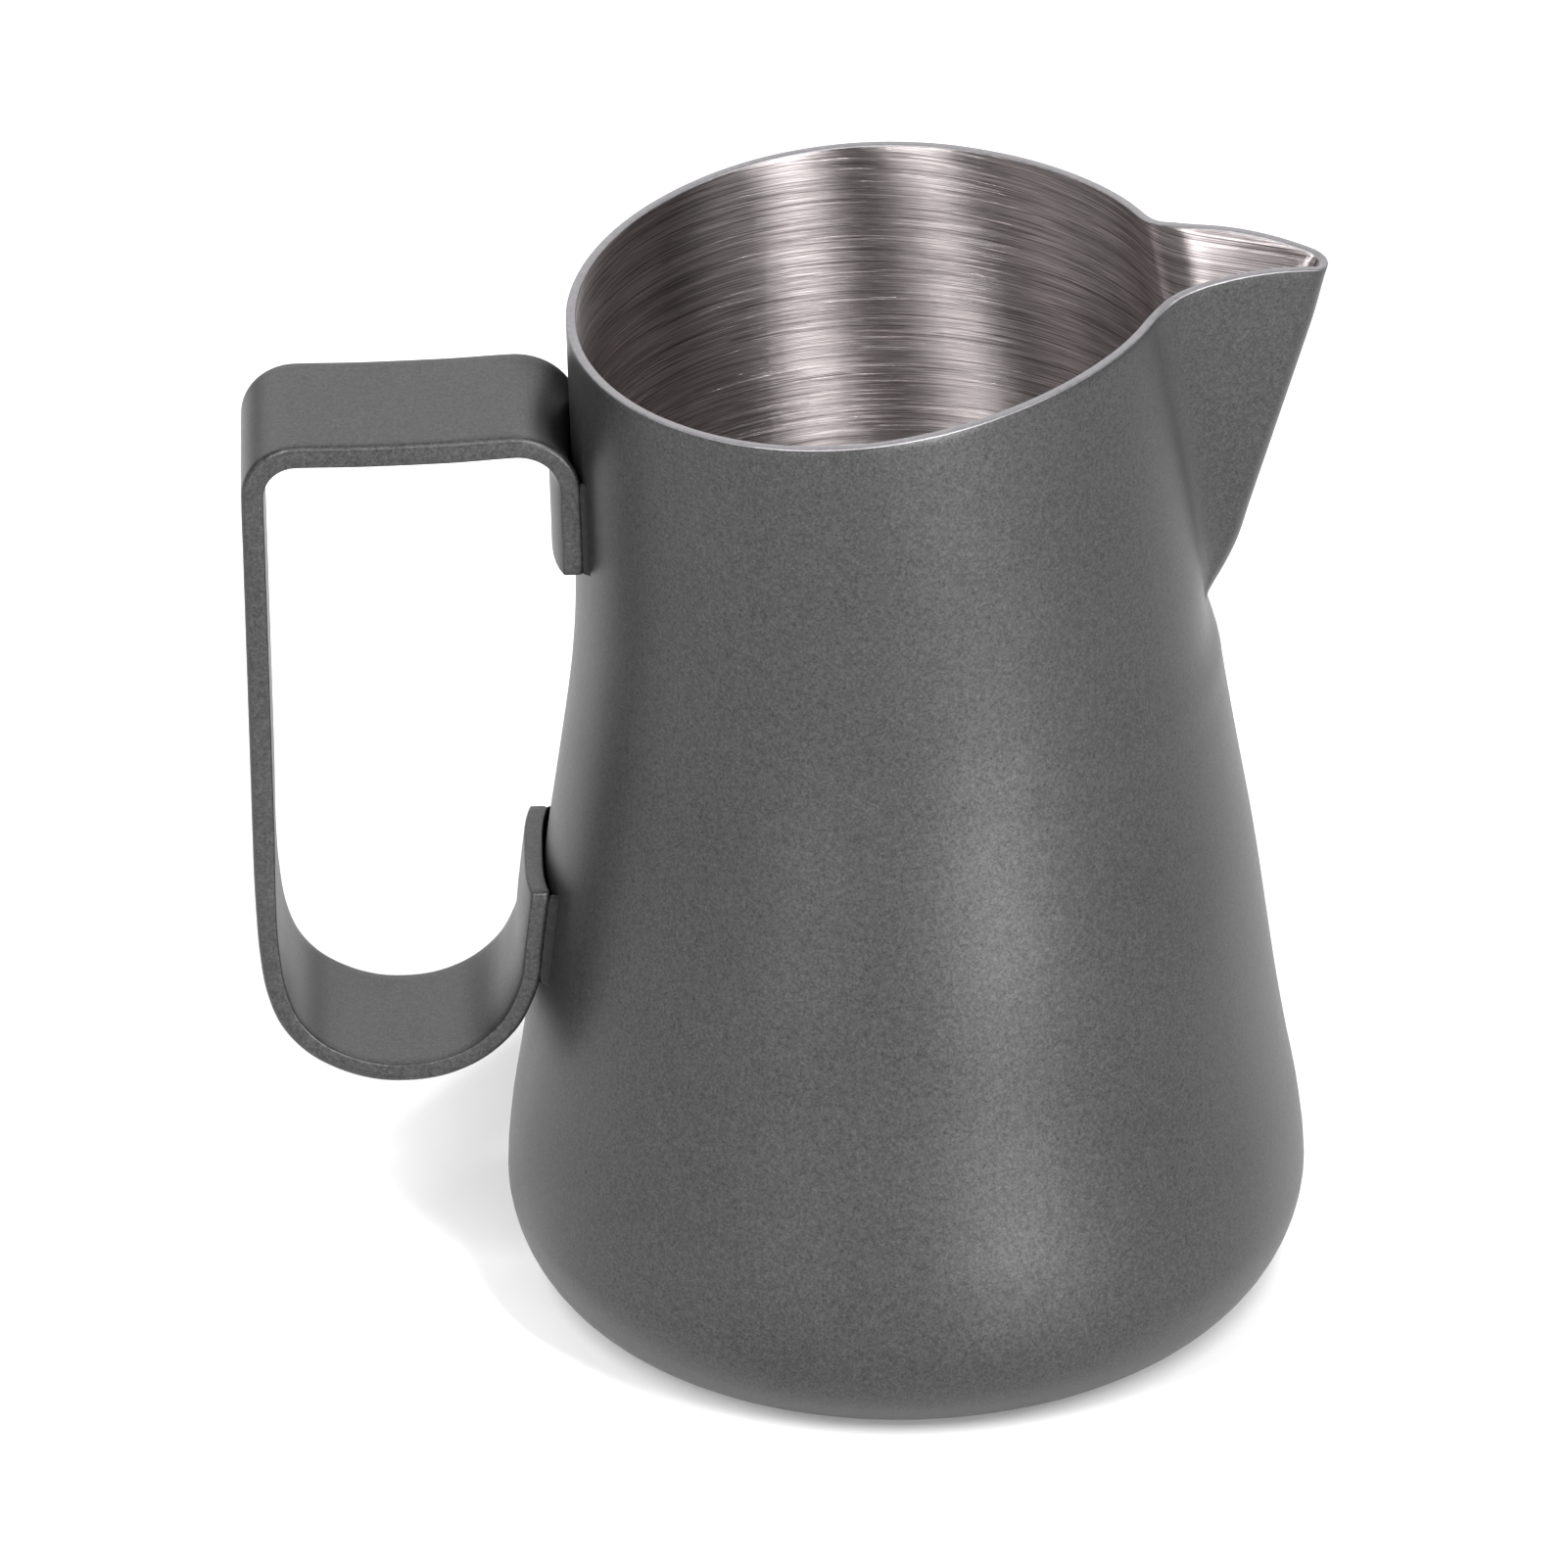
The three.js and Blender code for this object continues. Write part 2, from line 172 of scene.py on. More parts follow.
# %% The material wrapper
class Paint:
    """One material and the nodes that feed its surface shader."""

    def __init__(self, name, **constants):
        self.material = bpy.data.materials.new(name)
        self.material.use_nodes = True
        self.tree = self.material.node_tree
        self.shader = self.tree.nodes["Principled BSDF"]
        for key, value in constants.items():
            self.shader.inputs[key.replace("_", " ")].default_value = value
        self.place = self.node("TexCoord", {}, output="Object")

    def node(self, kind, settings, *values, output=0, **named):
        made = self.tree.nodes.new("ShaderNode" + kind)
        for key, value in settings.items():
            setattr(made, key, value)
        for i, value in enumerate(values):
            self.feed(made.inputs[i], value)
        for key, value in named.items():
            self.feed(made.inputs[key.replace("_", " ")], value)
        return Wire(self, made.outputs[output])

    def feed(self, socket, value):
        if isinstance(value, Wire):
            self.tree.links.new(value.socket, socket)
        else:
            socket.default_value = value

    def surface(self, **sockets):
        for key, value in sockets.items():
            self.feed(self.shader.inputs[key.replace("_", " ")], value)

    def mix(self, factor, low, high):
        """Two colours by a factor."""
        made = self.tree.nodes.new("ShaderNodeMix")
        made.data_type = "RGBA"
        sockets = [s for s in made.inputs if s.enabled]
        for socket, value in zip(sockets, (factor, low, high)):
            self.feed(socket, value)
        return Wire(self, [s for s in made.outputs if s.enabled][0])

    def noise(self, scale, detail=2.0, roughness=0.5, at=None):
        return self.node(
            "TexNoise", {}, Vector=at or self.place, Scale=scale, Detail=detail, Roughness=roughness
        )

    def bumped(self, height, distance, strength):
        return self.node("Bump", {}, Height=height, Distance=distance, Strength=strength)


# %% [markdown]
# ## The powder coat
#
# The coat is charcoal with metal flakes: it has a satin sheen, a fine speckle of lighter and
# darker grains a few tenths of a millimetre across, and a very fine orange peel. The flakes
# change the colour, and the coarser grains change the roughness too, so the sheen breaks up as
# it does on sprayed powder. A large, faint cloud keeps any two places from being quite the same.
# The welds are rougher steel in a tight corner, and their coat is darker: painted shade for the
# unlit corner.

# %% Powder coat
COAT_DARK = 0.0165
COAT_PALE = 0.067
COAT_ROUGHNESS = 0.41
PEEL_DEPTH = 0.00004


def grey(value):
    return (value, value, value, 1)


def powder_coat(name, shade=1.0):
    """A charcoal coat with flakes; a shade below 1 darkens it, as painted shade."""
    paint = Paint(name, Metallic=0.7)
    flakes = paint.noise(3600, detail=3, roughness=0.75)
    grains = paint.noise(1700, detail=2, roughness=0.6)
    clouds = paint.noise(45, detail=2)
    light = (0.5 + (flakes - 0.5) * 1.9 + (grains - 0.5) * 0.9 + (clouds - 0.5) * 0.25).clamped()
    colour = paint.mix(light, grey(COAT_DARK * shade), grey(COAT_PALE * shade))
    rough = COAT_ROUGHNESS + (grains - 0.5) * 0.16 + (clouds - 0.5) * 0.05
    peel = paint.noise(900, detail=3)
    normal = paint.bumped(peel + flakes * 0.5, PEEL_DEPTH, 0.35)
    paint.surface(Base_Color=colour, Roughness=rough, Normal=normal)
    print(name, "nodes:", len(paint.tree.nodes))
    return paint.material


coat = powder_coat("powder_coat")
# the welds' coat is darker, painted shade for the crevice beside the tabs
weld_painted_shade_coat = powder_coat("weld_painted_shade_coat", 0.3)

# %% [markdown]
# ## The brushed steel
#
# The inside was turned while an abrasive pad held still, so its lines run round the axis. Light
# spreads across such lines and not along them, which draws every reflection out into an upright
# band. Anisotropy gives that spread, and stretched noise gives the lines themselves. The noise
# is read from the direction round the axis and from the height, so it has no seam. Near the
# bottom the distance from the axis is taken off the height, which turns the lines into rings.

# %% Coordinates that follow the turning
RINGS_END = 0.070
RINGS_FADE = 15.0


def round_the_axis(paint, turns, rise):
    """Coordinates that change slowly round the axis, and quickly up the wall or out along the
    bottom."""
    flat = paint.node("VectorMath", {"operation": "MULTIPLY"}, paint.place, (1, 1, 0))
    unit = paint.node("VectorMath", {"operation": "NORMALIZE"}, flat)
    ring = paint.node("VectorMath", {"operation": "MULTIPLY"}, unit, (turns, turns, 0))
    radius = paint.node("VectorMath", {"operation": "LENGTH"}, flat, output=1)
    height = paint.node("SeparateXYZ", {}, paint.place, output=2)
    near_bottom = ((RINGS_END - height) * RINGS_FADE).clamped()
    lift = paint.node("CombineXYZ", {}, 0.0, 0.0, (height - radius * near_bottom) * rise)
    return paint.node("VectorMath", {"operation": "ADD"}, ring, lift)


# %% Brushed steel
STEEL_DARK = (0.16, 0.136, 0.139, 1)
STEEL_PALE = (0.74, 0.68, 0.675, 1)
STEEL_ROUGHNESS = 0.38
STEEL_TONE = 0.42
SCRATCH_LEVEL = 0.64
LINE_DEPTH = 0.00005


def brushed_steel(name):
    """Steel turned with an abrasive: fine lines, broad shading and a few long scratches."""
    paint = Paint(name, Metallic=1.0, Anisotropic=1.0, Anisotropic_Rotation=0.25)
    fine = paint.noise(1.0, detail=4, roughness=0.8, at=round_the_axis(paint, 2.0, 5600))
    broad = paint.noise(1.0, detail=2, roughness=0.6, at=round_the_axis(paint, 1.5, 900))
    long_lines = paint.noise(1.0, detail=1, at=round_the_axis(paint, 2.6, 6400))
    scratches = ((long_lines - SCRATCH_LEVEL) * 16.0).clamped()
    tone = (STEEL_TONE + (fine - 0.5) * 3.0 + (broad - 0.5) * 0.3 + scratches).clamped()
    colour = paint.mix(tone, STEEL_DARK, STEEL_PALE)
    rough = STEEL_ROUGHNESS + (broad - 0.5) * 0.06 - scratches * 0.06
    normal = paint.bumped(fine + broad * 0.4 + scratches * 0.5, LINE_DEPTH, 0.5)
    paint.surface(Base_Color=colour, Roughness=rough, Normal=normal)
    print(name, "nodes:", len(paint.tree.nodes))
    return paint.material


inside_steel = brushed_steel("brushed_inside")

# %% [markdown]
# ## The ground rim
#
# The rim was trimmed and ground flat after the coat was baked, so it is bare steel with a fine
# grit that runs no particular way: the same metal, duller, with plain noise and no anisotropy.

# %% Ground rim
RIM_DARK = (0.14, 0.136, 0.141, 1)
RIM_PALE = (0.34, 0.33, 0.34, 1)
RIM_ROUGHNESS = 0.48
GRIT_DEPTH = 0.00005


def ground_edge(name):
    paint = Paint(name, Metallic=1.0)
    grit = paint.noise(1400, detail=3, roughness=0.7)
    colour = paint.mix(grit, RIM_DARK, RIM_PALE)
    rough = RIM_ROUGHNESS + (grit - 0.5) * 0.25
    normal = paint.bumped(grit, GRIT_DEPTH, 0.4)
    paint.surface(Base_Color=colour, Roughness=rough, Normal=normal)
    print(name, "nodes:", len(paint.tree.nodes))
    return paint.material


rim_steel = ground_edge("ground_rim")

# %% [markdown]
# ## The cup's shape
#
# Below the neck the cup is a plain surface of revolution. Above it the press has narrowed the
# mouth towards the spout and pushed a rounded wedge outwards. Each of these is a plan radius at
# an angle and a height, and the larger of the two, with a soft crease between them, is the cup.
# All lengths here are in millimetres, and angle 0 points along the spout.


# %% Curves
def smoothstep(t):
    t = min(max(t, 0.0), 1.0)
    return t * t * (3 - 2 * t)


def ramp(z, start, span):
    """0 up to the start, 1 after the span, and smooth between."""
    return smoothstep((z - start) / span)


def eased(t, start, leave, end, arrive):
    """A cubic from start to end, with its slope at each end; t runs from 0 to 1."""
    return (
        (2 * t**3 - 3 * t**2 + 1) * start
        + (t**3 - 2 * t**2 + t) * leave
        + (-2 * t**3 + 3 * t**2) * end
        + (t**3 - t**2) * arrive
    )


def through(table, spot):
    """A smooth curve through a table of (place, value), level at its first place."""
    spot = max(spot, table[0][0])
    i = 0
    while i < len(table) - 2 and spot > table[i + 1][0]:
        i += 1
    (a, u), (b, w) = table[i], table[i + 1]
    before, after = table[max(i - 1, 0)], table[min(i + 2, len(table) - 1)]
    slope_a = 0.0 if i == 0 else (w - before[1]) / (b - before[0])
    slope_b = (after[1] - u) / (after[0] - a)
    span = b - a
    return eased((spot - a) / span, u, span * slope_a, w, span * slope_b)


# %% Profile of the plain cup
WALL = 1.1
BASE_RADIUS = 35.0
BODY_RADIUS = 45.0
CORNER_HEIGHT = 12.6
CORNER_POWER = 1.835
WALL_PROFILE = [
    (12.6, 45.0), (20.3, 44.36), (27.3, 43.21), (34.3, 42.17), (41.3, 41.31), (48.4, 40.48),
    (55.4, 39.57), (62.4, 38.49), (69.4, 37.43), (76.4, 36.46), (83.4, 35.84), (90.4, 35.62),
    (97.4, 35.62), (104.4, 35.72), (111.4, 35.86), (118.4, 35.96), (130.0, 36.05),
]
PRESS_START = 74.0


def body_radius(z):
    """Outer radius of the plain cup."""
    return through(WALL_PROFILE, z)


def corner_point(t):
    """Radius and height round the bottom corner, t from 0 to 1."""
    a = t * math.pi / 2
    power = 2 / CORNER_POWER
    return (
        BASE_RADIUS + (BODY_RADIUS - BASE_RADIUS) * math.sin(a) ** power,
        CORNER_HEIGHT * (1 - math.cos(a) ** power),
    )


print("radius at the neck:", round(body_radius(94), 2), "mm")

# %% Narrowed mouth
RIM_HEIGHT = 124.1
RIM_SLOPE = 0.0684
MOUTH_RADIUS = 35.95
NARROWING_START = 78
NARROWING_POWER = 1.25

# angle in degrees from the spout, plan radius at the rim
MOUTH = [
    (0, 31.65), (36, 31.6), (46, 31.7), (56, 32.05), (68, 32.8), (83, 34.2), (98, 35.5),
    (115, 36.3), (135, 36.3), (158, 36.05), (180, 35.95),
]


def plain_radius(angle, z):
    """The cup's radius without its spout."""
    up = max((z - NARROWING_START) / (RIM_HEIGHT - NARROWING_START), 0) ** NARROWING_POWER
    return body_radius(z) - (MOUTH_RADIUS - through(MOUTH, abs(angle) / DEG)) * up


DENT_DEPTH = 0.8
DENT_WIDTH = 15 * DEG


def root_dent(angle, z):
    """The press draws the wall in a little just under the spout."""
    depth = DENT_DEPTH * ramp(z, 77.5, 6) * (1 - ramp(z, 85, 9))
    return depth * math.exp(-((angle / DENT_WIDTH) ** 2))


# %% Spout
SPOUT_ROOT = 84.5
SPOUT_HALF_ANGLE = 20.5 * DEG
SPOUT_REACH = 80 * DEG
NOSE_RADIUS = 2.8
RIDGE_RADIUS = 39.45
RIDGE_LEVEL = 95.65
RIDGE_SLOPE = 0.3115
ROOT_BEND = 0.0213
ROOT_BEND_TOP = 93.4
TIP_DRAW = 0.3


def ridge(z):
    """How far out the spout's front edge stands: straight, then rounded in to its root."""
    straight = RIDGE_RADIUS + RIDGE_SLOPE * (z - RIDGE_LEVEL)
    bend = ROOT_BEND * max(ROOT_BEND_TOP - z, 0) ** 2
    return straight - bend - TIP_DRAW * ramp(z, 119, 7)


def spout_radius(angle, z):
    """A wedge in plan: two flat cheeks that meet in a round nose."""
    a = abs(angle)
    centre = ridge(z) - NOSE_RADIUS
    aside = centre * math.sin(a)
    if aside < NOSE_RADIUS:
        r = centre * math.cos(a) + math.sqrt(NOSE_RADIUS * NOSE_RADIUS - aside * aside)
        if r * math.cos(a) >= centre + NOSE_RADIUS * math.sin(SPOUT_HALF_ANGLE):
            return r
    return (centre * math.sin(SPOUT_HALF_ANGLE) + NOSE_RADIUS) / math.sin(a + SPOUT_HALF_ANGLE)


def pressed_radius(angle, z):
    """The finished cup: the body or the spout, whichever is further out, softly joined."""
    flank = plain_radius(angle, z) - root_dent(angle, z)
    if z < PRESS_START or abs(angle) > SPOUT_REACH:
        return flank
    # the crease is tight at the root, broad above it and a little tighter near the rim
    soft = 0.8 + 4.8 * ramp(z, 83, 12) - 0.6 * ramp(z, 112, 12)
    spout = spout_radius(angle, z)
    h = max(soft - abs(flank - spout), 0) / soft
    return max(flank, spout) + h * h * soft / 4


# %% Slanted rim with its lip
LIP_START = 28
LIP_LENGTH = 20.5
LIP_RISE = 6.4
LIP_TURN = 0.83
LIP_EASE = 0.2


def rim_height(x):
    """Height of the rim: a slanted cut, then the lip, which rises and dips again at its tip."""
    t = (x - LIP_START) / LIP_LENGTH
    lip = LIP_RISE * t * (LIP_TURN - t) * smoothstep(t / LIP_EASE) if t > 0 else 0.0
    return RIM_HEIGHT + RIM_SLOPE * x + lip


print("rim at the handle:", round(rim_height(-36), 2), "mm, at the tip:", round(rim_height(48), 2))

# %% [markdown]
# ## Where the columns stand
#
# The mesh is made of columns of faces that run up the cup. The spout's nose and its crease need
# many of them, and the plain back needs few. So the same columns are spaced evenly low down, and
# crowd towards the spout higher up, with one column running along the crease all the way.

# %% Find the crease
LEAST_CREASE = 6 * DEG
MOST_CREASE = 24 * DEG
CREASE_FROM = 60
CREASE_STEP = 0.25
CREASE_COUNT = 290


def crease_angle(z):
    """The angle at which the spout leaves the body."""
    if z <= SPOUT_ROOT:
        return LEAST_CREASE
    low, high = 0.0, MOST_CREASE
    for _ in range(26):
        middle = (low + high) / 2
        if spout_radius(middle, z) > plain_radius(middle, z) - root_dent(middle, z):
            low = middle
        else:
            high = middle
    return max(low, LEAST_CREASE)


crease_table = [crease_angle(CREASE_FROM + CREASE_STEP * i) for i in range(CREASE_COUNT)]


def crease_at(z):
    spot = min(max((z - CREASE_FROM) / CREASE_STEP, 0), len(crease_table) - 1.001)
    i = int(spot)
    return crease_table[i] + (crease_table[i + 1] - crease_table[i]) * (spot - i)


print("crease at the rim:", round(crease_at(RIM_HEIGHT) / DEG, 1), "degrees from the spout")

# %% Crowd the columns
SPREAD = 42 * DEG
FAR = 105 * DEG
CROWD_START = 44
CROWD_SPAN = 40


def column_angle(even, z):
    """Where an evenly spaced column stands at a height."""
    a = abs(even)
    crease = crease_at(z)
    span = FAR - SPREAD
    if a < SPREAD:
        aim = crease * a / SPREAD
    elif a < FAR:
        aim = eased((a - SPREAD) / span, crease, span * (crease / SPREAD), FAR, span)
    else:
        aim = a
    pull = ramp(z, CROWD_START, CROWD_SPAN)
    return math.copysign(a + (aim - a) * pull, even)


# %% [markdown]
# ## Spinning and pressing the cup
#
# The outer section, from the axis to the rim, is drawn as a chain of edges and spun once round.
# Then its upper columns are moved to the pressed shape, as the press does to the real cup. A
# Solidify modifier gives the sheet its thickness and separates the outside, the inside and the
# cut edge into three finishes, and a small bevel breaks the rim's edges.

# %% Spin the section
COLUMNS = 288
CORNER_STEPS = 14
BODY_STEPS = 22
MOUTH_STEPS = 46
SAME_PLACE = 1e-4


def levels(low, high, steps):
    """Even heights from low up to just short of high."""
    return [low + (high - low) * i / steps for i in range(steps)]


def section():
    points = [(r, 0.0) for r in (0, 9, 18, 26, 32)]
    points += [corner_point(t) for t in levels(0, 1, CORNER_STEPS)]
    points += [(body_radius(z), z) for z in levels(CORNER_HEIGHT, PRESS_START, BODY_STEPS)]
    points += [(body_radius(z), z) for z in levels(PRESS_START, RIM_HEIGHT, MOUTH_STEPS)]
    return points + [(body_radius(RIM_HEIGHT), RIM_HEIGHT)]


def spun_cup():
    bm = bmesh.new()
    ring = [bm.verts.new((r, 0, z)) for r, z in section()]
    chain = [bm.edges.new(pair) for pair in zip(ring, ring[1:])]
    bmesh.ops.spin(
        bm, geom=ring + chain, axis=(0, 0, 1), cent=(0, 0, 0), steps=COLUMNS, angle=math.tau,
        use_merge=True,
    )
    bmesh.ops.remove_doubles(bm, verts=bm.verts, dist=SAME_PLACE)
    bmesh.ops.recalc_face_normals(bm, faces=bm.faces)
    print("spun faces:", len(bm.faces))
    return bm


cup_bm = spun_cup()

# %% Press the mouth
RIM_ROUNDS = 12
HAIR = 1e-6


def rim_above(even):
    """Height of the rim on a column, found in rounds because the column leans."""
    rim = RIM_HEIGHT
    for _ in range(RIM_ROUNDS):
        angle = column_angle(even, rim)
        rim = rim_height(pressed_radius(angle, rim) * math.cos(angle))
    return rim


def press(bm):
    rims = {}
    for v in bm.verts:
        z = v.co.z
        if z < CROWD_START:
            continue
        even = math.atan2(v.co.y, v.co.x)
        if z > PRESS_START - HAIR:
            key = round(even, 5)
            if key not in rims:
                rims[key] = rim_above(even)
            share = (z - PRESS_START) / (RIM_HEIGHT - PRESS_START)
            z = PRESS_START + (rims[key] - PRESS_START) * share
        angle = column_angle(even, z)
        r = pressed_radius(angle, z)
        v.co = Vector((r * math.cos(angle), r * math.sin(angle), z))
    print("rim from", round(min(rims.values()), 2), "to", round(max(rims.values()), 2), "mm")


press(cup_bm)


# %% From a working mesh to a piece
def in_metres(bm, name):
    bmesh.ops.scale(bm, vec=(MM, MM, MM), verts=bm.verts)
    mesh = bpy.data.meshes.new(name)
    bm.to_mesh(mesh)
    bm.free()
    piece = bpy.data.objects.new(name, mesh)
    bpy.context.scene.collection.objects.link(piece)
    return piece


def applied(piece):
    """Makes the piece's modifiers real."""
    graph = bpy.context.evaluated_depsgraph_get()
    mesh = bpy.data.meshes.new_from_object(piece.evaluated_get(graph))
    piece.modifiers.clear()
    old = piece.data
    piece.data = mesh
    bpy.data.meshes.remove(old)


def smooth(piece):
    for polygon in piece.data.polygons:
        polygon.use_smooth = True


# %% Give the sheet its thickness
OUTSIDE, INSIDE, RIM = 0, 1, 2

cup = in_metres(cup_bm, "cup")
for material in (coat, inside_steel, rim_steel):
    cup.data.materials.append(material)
sheet = cup.modifiers.new("sheet", "SOLIDIFY")
sheet.thickness = WALL * MM
sheet.offset = -1
sheet.use_even_offset = True
sheet.material_offset = INSIDE
sheet.material_offset_rim = RIM
applied(cup)
print("cup faces:", len(cup.data.polygons))

# %% Break the rim's edges
RIM_BEVEL = 0.13


def finish_rim(piece):
    """Levels the cut edge, which the sheet's thickness leaves tilted, and bevels its two sides."""
    bm = bmesh.new()
    bm.from_mesh(piece.data)
    rim_faces = [f for f in bm.faces if f.material_index == RIM]
    for f in rim_faces:
        outer = [v for v in f.verts if any(g.material_index == OUTSIDE for g in v.link_faces)]
        for v in f.verts:
            if v not in outer:
                v.co.z = min(outer, key=lambda o: (o.co - v.co).length).co.z
    edges = [
        e for e in bm.edges
        if {f.material_index == RIM for f in e.link_faces} == {True, False}
    ]
    made = bmesh.ops.bevel(
        bm, geom=edges, offset=RIM_BEVEL * MM, segments=2, profile=0.5, affect="EDGES",
        material=RIM,
    )
    print("rim bevel faces:", len(made["faces"]))
    bm.to_mesh(piece.data)
    bm.free()


finish_rim(cup)
smooth(cup)
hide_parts("body_shell")
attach(cup, "root")

# %% [markdown]
# ## The strap handle
#
# The handle is a flat bar bent to an open loop, and its two ends are tabs that lie against the
# cup. Its outer line is a chain of edges, pulled across to a ribbon and then pushed inwards by
# its thickness, which thins a little at the tabs. The upper tab is curved to lie on the cup, and
# the lower one less so. The long edges on the outside of the loop are well rounded. Those on the
# inside and the tabs' ends are only broken.

# %% Outer line of the strap
STRAP_WIDTH = 20.3
GAP = 0.3
UPPER_TAB = (94.45, 97.2, 99.6, 102.0)
LOWER_TAB = (42.6, 46.2, 50.0, 53.8)
LOWER_LOOP = [
    (-72.5, 58.0), (-72.4, 52.5), (-72.15, 47.0), (-71.5, 41.8), (-70.0, 37.4), (-67.3, 33.9),
    (-63.7, 31.5), (-59.7, 30.1), (-55.8, 29.8), (-52.15, 30.3), (-48.8, 31.7), (-46.1, 33.75),
    (-43.9, 36.4), (-42.5, 39.35),
]
INNER_BEND = 7
INNER_BEND_Z = 105.07
OUTER_BEND = 6.2
OUTER_BEND_AT = (-66.3, 105.37)
TOP_RUN = [(-50, 111.72), (-59, 111.52)]
BAR_X = -72.5


def tab_x(z):
    return -(body_radius(z) + GAP)


def arc(cx, cz, radius, start, end, steps):
    spots = (start + (end - start) * i / steps for i in range(steps + 1))
    return [(cx + radius * math.cos(a * DEG), cz + radius * math.sin(a * DEG)) for a in spots]


def strap_line():
    """From the upper tab's end, round the loop, to the lower tab's end."""
    line = [(tab_x(z), z) for z in UPPER_TAB]
    line += arc(tab_x(104) - INNER_BEND, INNER_BEND_Z, INNER_BEND, 0, 90, 7)
    line += TOP_RUN
    line += arc(*OUTER_BEND_AT, OUTER_BEND, 90, 180, 7)
    line += [(BAR_X, z) for z in (98, 88, 78, 68)]
    line += LOWER_LOOP
    line += [(tab_x(z), z) for z in LOWER_TAB]
    return [Vector((x, 0, z)) for x, z in line]


# %% Smooth it
STEP = 0.7


def smoothed(points):
    """Points about a step apart on a smooth curve through the given ones."""
    dense = []
    last = len(points) - 1
    for i in range(last):
        p0, p1, p2 = points[max(i - 1, 0)], points[i], points[i + 1]
        p3 = points[min(i + 2, last)]
        d0, d1, d2 = ((b - a).length or 1.0 for a, b in ((p0, p1), (p1, p2), (p2, p3)))
        leave = (p2 - p0) * (d1 / (d0 + d1)) if i else p2 - p1
        arrive = (p3 - p1) * (d1 / (d1 + d2)) if i < last - 1 else p2 - p1
        count = max(1, round(d1 / STEP))
        dense += [eased(k / count, p1, leave, p2, arrive) for k in range(count)]
    return dense + [points[-1]]


def distances(line):
    """How far along the line each of its points is."""
    spots = [0.0]
    for a, b in zip(line, line[1:]):
        spots.append(spots[-1] + (b - a).length)
    return spots


line = smoothed(strap_line())
spots = distances(line)
total = spots[-1]
print("strap length", round(total, 1), "mm")

# %% Pull the line across to a ribbon
ACROSS = 14
TAB_CORNER = 0.3


def ribbon():
    """The outer face of the strap. Each vertex keeps its place along the line, as its order."""
    bm = bmesh.new()
    order = bm.verts.layers.int.new("order")
    bm.verts.layers.int.new("inside")
    chain = []
    for i, p in enumerate(line):
        v = bm.verts.new((p.x, -STRAP_WIDTH / 2, p.z))
        v[order] = i
        chain.append(v)
    edges = [bm.edges.new(pair) for pair in zip(chain, chain[1:])]
    for _ in range(ACROSS):
        made = bmesh.ops.extrude_edge_only(bm, edges=edges)["geom"]
        moved = [g for g in made if isinstance(g, bmesh.types.BMVert)]
        bmesh.ops.translate(bm, vec=(0, STRAP_WIDTH / ACROSS, 0), verts=moved)
        edges = [
            g for g in made
            if isinstance(g, bmesh.types.BMEdge) and all(v in moved for v in g.verts)
        ]
    # the corners at the tabs' ends are slightly rounded
    for v in bm.verts:
        spot = min(spots[v[order]], total - spots[v[order]])
        short = max(TAB_CORNER - spot, 0)
        cut = TAB_CORNER - math.sqrt(max(TAB_CORNER**2 - short * short, 0))
        v.co.y *= 1 - cut / (STRAP_WIDTH / 2)
    return bm


strap_bm = ribbon()
print("ribbon faces:", len(strap_bm.faces))

# %% Thicken it inwards
# distance along the line, thickness
THICKNESS = [
    (0, 2.3), (12, 2.3), (30, 2.5), (total - 75, 2.5), (total - 60, 2.25), (total - 32, 2.25),
    (total - 14, 2.1),
]


def blend(stops, spot):
    """The value at a spot, eased from each stop to the next."""
    if spot <= stops[0][0]:
        return stops[0][1]
    for (a, u), (b, w) in zip(stops, stops[1:]):
        if spot <= b:
            return u + (w - u) * ramp(spot, a, b - a)
    return stops[-1][1]


def thicken(bm):
    order = bm.verts.layers.int["order"]
    inside = bm.verts.layers.int["inside"]
    inward = []
    for i in range(len(line)):
        along = line[min(i + 1, len(line) - 1)] - line[max(i - 1, 0)]
        inward.append(Vector((-along.z, 0, along.x)).normalized())
    inward[0] = inward[-1] = Vector((-1, 0, 0))
    made = bmesh.ops.extrude_face_region(bm, geom=list(bm.faces))["geom"]
    for v in (g for g in made if isinstance(g, bmesh.types.BMVert)):
        v.co += inward[v[order]] * blend(THICKNESS, spots[v[order]])
        v[inside] = 1


thicken(strap_bm)

# %% Curve the tabs
# distance along the line, share of the cup's own curve
HUG = [(0, 1), (21, 1), (40, 0), (total - 34, 0), (total - 12, 0.65), (total, 0.65)]
HUG_POWER = 3.4


def curve_tabs(bm):
    """Bends the tabs' sides back round the cup, mostly close to their edges."""
    order = bm.verts.layers.int["order"]
    for v in bm.verts:
        i = v[order]
        radius = min(abs(line[i].x), BODY_RADIUS) + (Vector((v.co.x, 0, v.co.z)) - line[i]).length
        bow = radius - math.sqrt(radius**2 - (STRAP_WIDTH / 2) ** 2)
        v.co.x += blend(HUG, spots[i]) * bow * abs(2 * v.co.y / STRAP_WIDTH) ** HUG_POWER
    bmesh.ops.recalc_face_normals(bm, faces=bm.faces)


curve_tabs(strap_bm)

# %% Round and break its edges
SHARP = 55 * DEG
OUTER_EDGE, OUTER_PARTS = 0.75, 5
INNER_EDGE, INNER_PARTS = 0.24, 3


def sharp_edges(bm):
    return [e for e in bm.edges if e.is_manifold and e.calc_face_angle() > SHARP]


def bevelled(bm, edges, size, parts):
    bmesh.ops.bevel(
        bm, geom=edges, offset=size, segments=parts, profile=0.5, affect="EDGES", material=-1
    )


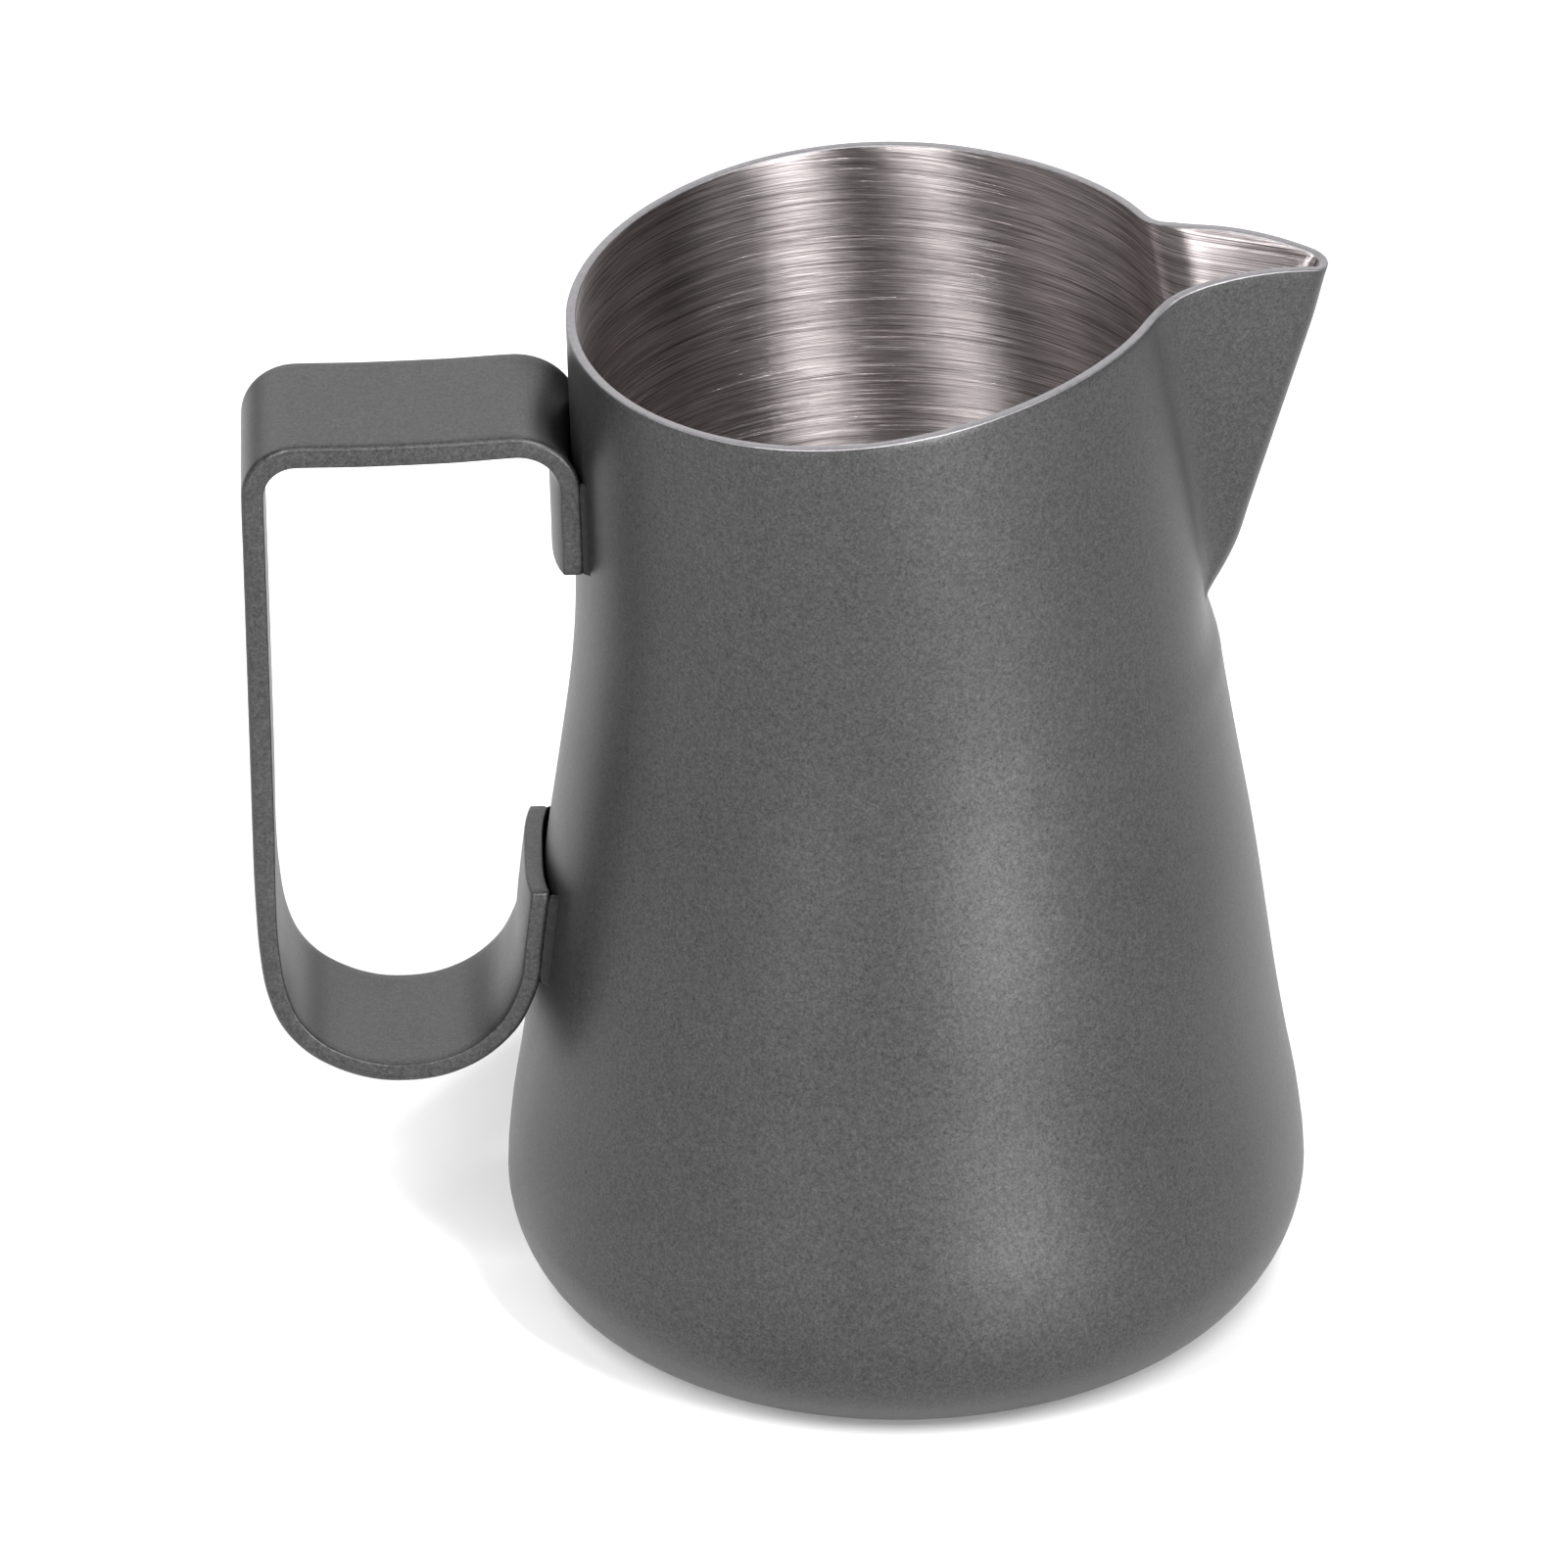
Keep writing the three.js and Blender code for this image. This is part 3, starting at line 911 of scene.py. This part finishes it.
def finish_edges(bm):
    order = bm.verts.layers.int["order"]
    inside = bm.verts.layers.int["inside"]
    long_outer = [
        e for e in sharp_edges(bm)
        if not any(v[inside] for v in e.verts) and e.verts[0][order] != e.verts[1][order]
    ]
    bevelled(bm, long_outer, OUTER_EDGE, OUTER_PARTS)
    bevelled(bm, sharp_edges(bm), INNER_EDGE, INNER_PARTS)
    print("strap faces:", len(bm.faces))


finish_edges(strap_bm)
strap = in_metres(strap_bm, "strap")
strap.data.materials.append(coat)
smooth(strap)
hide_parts("handle_strap")
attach(strap, "root")

# %% [markdown]
# ## The welds
#
# A fillet runs down each side of each tab and fills the narrow wedge between the flat strap and
# the round cup. Its section is a low hollow triangle with its back on the cup. It is drawn up the
# cup in steps that are bridged together, with the slight ripple of a weld that was dressed
# before coating.

# %% Section of a weld
WELD_STEPS = 26
WELD_PARTS = 8
WELD_INSET = 0.25
LEG_ON_CUP = 1.5
LEG_ON_TAB = 0.95
HOLLOW = 2.2
SINK = 0.1
BACK = 0.15
WELD_END_BEVEL = 0.15


def weld_ring(z, swell, lag):
    """One section as (x, y) pairs; lag is how far the tab stands off the cup at its side."""
    edge_y = STRAP_WIDTH / 2 - WELD_INSET
    radius = body_radius(z) - SINK
    reach = edge_y + LEG_ON_CUP * swell
    rise = -lag - LEG_ON_TAB * swell

    def on_cup(y):
        return -math.sqrt(radius**2 - y * y)

    places = [k / WELD_PARTS for k in range(WELD_PARTS + 1)]
    face = []
    for u in places:
        y = edge_y + (reach - edge_y) * u
        face.append((on_cup(y) + rise * (1 - u) ** HOLLOW, y))
    rear = []
    for u in reversed(places[:-1]):
        y = edge_y + (reach - edge_y) * u
        rear.append((on_cup(y) + BACK, y))
    return face + rear


# %% Weld fillets
def weld_mesh(low, high, side, lag):
    bm = bmesh.new()
    rings = []
    for i in range(WELD_STEPS + 1):
        t = i / WELD_STEPS
        z = low + (high - low) * t
        # thinner towards the ends, with two ripples of different lengths
        swell = 0.8 + 0.2 * smoothstep(min(t, 1 - t) / 0.1)
        swell *= 1 + 0.05 * math.sin(z * 2.9) + 0.03 * math.sin(z * 5.3 + 1)
        rings.append([bm.verts.new((x, side * y, z)) for x, y in weld_ring(z, swell, lag)])
    first = bm.faces.new(rings[0])
    last = bm.faces.new(rings[-1])
    for a, b in zip(rings, rings[1:]):
        edges_a = [bm.edges.get(p) or bm.edges.new(p) for p in zip(a, a[1:] + a[:1])]
        edges_b = [bm.edges.get(p) or bm.edges.new(p) for p in zip(b, b[1:] + b[:1])]
        bmesh.ops.bridge_loops(bm, edges=edges_a + edges_b)
    bmesh.ops.recalc_face_normals(bm, faces=bm.faces)
    bevelled(bm, list(first.edges) + list(last.edges), WELD_END_BEVEL, 2)
    print("weld faces:", len(bm.faces))
    return bm


# tab, lowest and highest point, how far the tab stands off
WELDS = [("upper", 94.6, 106.2, 0.0), ("lower", 42.2, 53.6, 0.35)]

for tab, low, high, lag in WELDS:
    for end, side in (("front", -1), ("back", 1)):
        weld = in_metres(weld_mesh(low, high, side, lag), f"{tab}_weld_{end}")
        weld.data.materials.append(weld_painted_shade_coat)
        smooth(weld)
        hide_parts(f"{tab}_tab_weld_{end}")
        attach(weld, "root")

# %% [markdown]
# ## The floor
#
# One large pale sheet, a hair below the pitcher's flat bottom so that the two don't flicker. It
# glows very slightly, as the paper of a lit table does, which keeps its shadows pale.

# %% Floor
FLOOR_SIZE = 3.0
FLOOR_DROP = 0.0002
FLOOR_DARK, FLOOR_PALE = 0.68, 0.71
FLOOR_GLOW = 0.16

bm = bmesh.new()
bmesh.ops.create_grid(
    bm, x_segments=1, y_segments=1, size=FLOOR_SIZE,
    matrix=Matrix.Translation((0, 0, -FLOOR_DROP)),
)
floor_mesh = bpy.data.meshes.new("floor")
bm.to_mesh(floor_mesh)
bm.free()
floor = bpy.data.objects.new("floor", floor_mesh)
bpy.context.scene.collection.objects.link(floor)
floor_paint = Paint("pale_floor", Roughness=0.9, Emission_Strength=FLOOR_GLOW)
patches = floor_paint.noise(3)
floor_paint.surface(Base_Color=floor_paint.mix(patches, grey(FLOOR_DARK), grey(FLOOR_PALE)))
floor.data.materials.append(floor_paint.material)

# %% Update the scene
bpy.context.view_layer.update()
